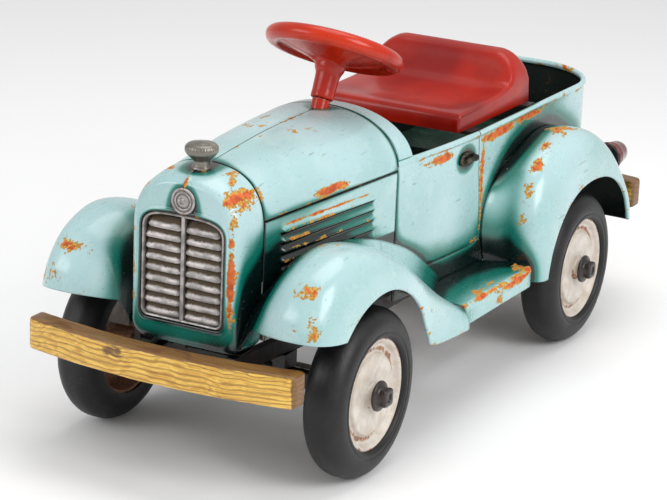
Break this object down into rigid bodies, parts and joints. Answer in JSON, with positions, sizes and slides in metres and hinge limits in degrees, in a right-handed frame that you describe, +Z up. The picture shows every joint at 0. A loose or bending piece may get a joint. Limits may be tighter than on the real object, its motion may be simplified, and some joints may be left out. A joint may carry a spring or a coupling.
{
  "type": "pedal car",
  "caption": "Child's 1930s-style pedal car: pressed-steel body, wooden bumpers, disc wheels, tie-rod steering and pedal-driven rear axle",
  "frame": {"origin": "on the floor, midway between the two bumpers and between the left and right wheels", "axes": "+X to the car's left, the radiator faces -Y, +Z up"},
  "size_m": [0.409, 1.006, 0.477],
  "materials": {
    "body_enamel": "aged pale aqua enamel, darker teal in the hollows, chipped to ochre undercoat",
    "floor_enamel": "dark green enamel, dusty",
    "red_enamel": "gloss red-orange enamel",
    "seat_red": "gloss deep red moulding",
    "pine": "varnished yellow pine with dark brown worn edges",
    "tyre_rubber": "smooth solid black rubber",
    "wheel_enamel": "cream enamel with rust in the creases",
    "cap_plastic": "near-black brown, satin",
    "grille_metal": "dull silver with a brown wash",
    "cap_metal": "satin pewter with brown grime",
    "dark_metal": "dark worn metal",
    "lens_red": "gloss dark red",
    "frame_black": "black chassis paint",
    "steel": "plain steel, lightly oiled",
    "block_rubber": "black moulded rubber",
    "bush_plastic": "natural nylon"
  },
  "bodies": {
    "chassis": {"radiator_shell": "body_enamel", "grille": "grille_metal", "badge": "grille_metal", "radiator_cap": "cap_metal", "hood": "body_enamel", "hood_side_left": "body_enamel", "hood_side_right": "body_enamel", "cowl": "body_enamel", "body_tub": "body_enamel", "box_floor": "floor_enamel", "seat": "seat_red", "seat_supports": "frame_black", "door_handles": "dark_metal", "tail_light_bases": "frame_black", "tail_light_lenses": "lens_red", "front_fender_left": "body_enamel", "front_fender_right": "body_enamel", "rear_fender_left": "body_enamel", "rear_fender_right": "body_enamel", "running_board_left": "body_enamel", "running_board_right": "body_enamel", "front_bumper": "pine", "rear_bumper": "pine", "bumper_brackets": "frame_black", "bumper_screws": "steel", "frame_rails": "frame_black", "cross_members": "frame_black", "front_axle": "frame_black", "kingpins": "steel", "axle_hangers": "frame_black", "axle_bushes": "bush_plastic", "column_bush": "red_enamel", "steering_bracket": "frame_black", "pedal_shaft": "steel"},
    "steering": {"steering_wheel": "red_enamel", "steering_shaft": "steel"},
    "tie_bar": {"tie_rod": "steel"},
    "left_knuckle": {"knuckle_left": "steel"},
    "right_knuckle": {"knuckle_right": "steel"},
    "front_left_wheel": {"tyre_front_left": "tyre_rubber", "wheel_front_left": "wheel_enamel", "hub_cap_front_left": "cap_plastic"},
    "front_right_wheel": {"tyre_front_right": "tyre_rubber", "wheel_front_right": "wheel_enamel", "hub_cap_front_right": "cap_plastic"},
    "rear_axle": {"crank_axle": "steel", "axle_nuts": "steel", "tyre_rear_left": "tyre_rubber", "wheel_rear_left": "wheel_enamel", "hub_cap_rear_left": "cap_plastic"},
    "rear_right_wheel": {"tyre_rear_right": "tyre_rubber", "wheel_rear_right": "wheel_enamel", "hub_cap_rear_right": "cap_plastic"},
    "left_rod": {"push_rod_left": "steel"},
    "right_rod": {"push_rod_right": "steel"},
    "left_pedal": {"pedal_lever_left": "steel"},
    "right_pedal": {"pedal_lever_right": "steel"},
    "left_block": {"pedal_block_left": "block_rubber"},
    "right_block": {"pedal_block_right": "block_rubber"}
  },
  "joints": [
    {"name": "steering_turn", "type": "hinge", "parent": "chassis", "child": "steering", "pos_m": [0, -0.1015, 0.434], "axis": [0, 0.4368, 0.8996], "range_deg": [-40, 40]},
    {"name": "left_knuckle_turn", "type": "hinge", "parent": "chassis", "child": "left_knuckle", "pos_m": [0.112, -0.315, 0.1], "axis": [0, 0, 1], "range_deg": [-18, 18]},
    {"name": "right_knuckle_turn", "type": "hinge", "parent": "chassis", "child": "right_knuckle", "pos_m": [-0.112, -0.315, 0.1], "axis": [0, 0, 1], "range_deg": [-18, 18]},
    {"name": "tie_bar_slide", "type": "slide", "parent": "chassis", "child": "tie_bar", "axis": [1, 0, 0], "range_m": [-0.0256, 0.0256]},
    {"name": "front_left_spin", "type": "hinge", "parent": "left_knuckle", "child": "front_left_wheel", "pos_m": [0.165, -0.315, 0.1], "axis": [1, 0, 0], "continuous": true},
    {"name": "front_right_spin", "type": "hinge", "parent": "right_knuckle", "child": "front_right_wheel", "pos_m": [-0.165, -0.315, 0.1], "axis": [1, 0, 0], "continuous": true},
    {"name": "rear_axle_spin", "type": "hinge", "parent": "chassis", "child": "rear_axle", "pos_m": [0, 0.257, 0.1], "axis": [1, 0, 0], "continuous": true},
    {"name": "rear_right_spin", "type": "hinge", "parent": "rear_axle", "child": "rear_right_wheel", "pos_m": [-0.165, 0.257, 0.1], "axis": [1, 0, 0], "continuous": true},
    {"name": "left_rod_pivot", "type": "hinge", "parent": "rear_axle", "child": "left_rod", "pos_m": [0.022, 0.222, 0.1], "axis": [1, 0, 0], "continuous": true},
    {"name": "right_rod_pivot", "type": "hinge", "parent": "rear_axle", "child": "right_rod", "pos_m": [-0.022, 0.292, 0.1], "axis": [1, 0, 0], "continuous": true},
    {"name": "left_pedal_swing", "type": "hinge", "parent": "chassis", "child": "left_pedal", "pos_m": [0, -0.105, 0.268], "axis": [1, 0, 0], "range_deg": [0, 24]},
    {"name": "right_pedal_swing", "type": "hinge", "parent": "chassis", "child": "right_pedal", "pos_m": [0, -0.105, 0.268], "axis": [1, 0, 0], "range_deg": [-24, 0]},
    {"name": "left_block_spin", "type": "hinge", "parent": "left_pedal", "child": "left_block", "pos_m": [0.0555, -0.13042, 0.14868], "axis": [1, 0, 0], "continuous": true},
    {"name": "right_block_spin", "type": "hinge", "parent": "right_pedal", "child": "right_block", "pos_m": [-0.0555, -0.07958, 0.14868], "axis": [1, 0, 0], "continuous": true}
  ],
  "couplings": [
    {"joint": "left_knuckle_turn", "follows": "steering_turn", "ratio": 0.45},
    {"joint": "right_knuckle_turn", "follows": "steering_turn", "ratio": 0.45},
    {"joint": "tie_bar_slide", "follows": "steering_turn", "m_per_rad": -0.0365},
    {"joint": "left_rod_pivot", "follows": "rear_axle_spin", "ratio": -1},
    {"joint": "right_rod_pivot", "follows": "rear_axle_spin", "ratio": -1},
    {"joint": "right_pedal_swing", "follows": "left_pedal_swing", "ratio": -1}
  ]
}
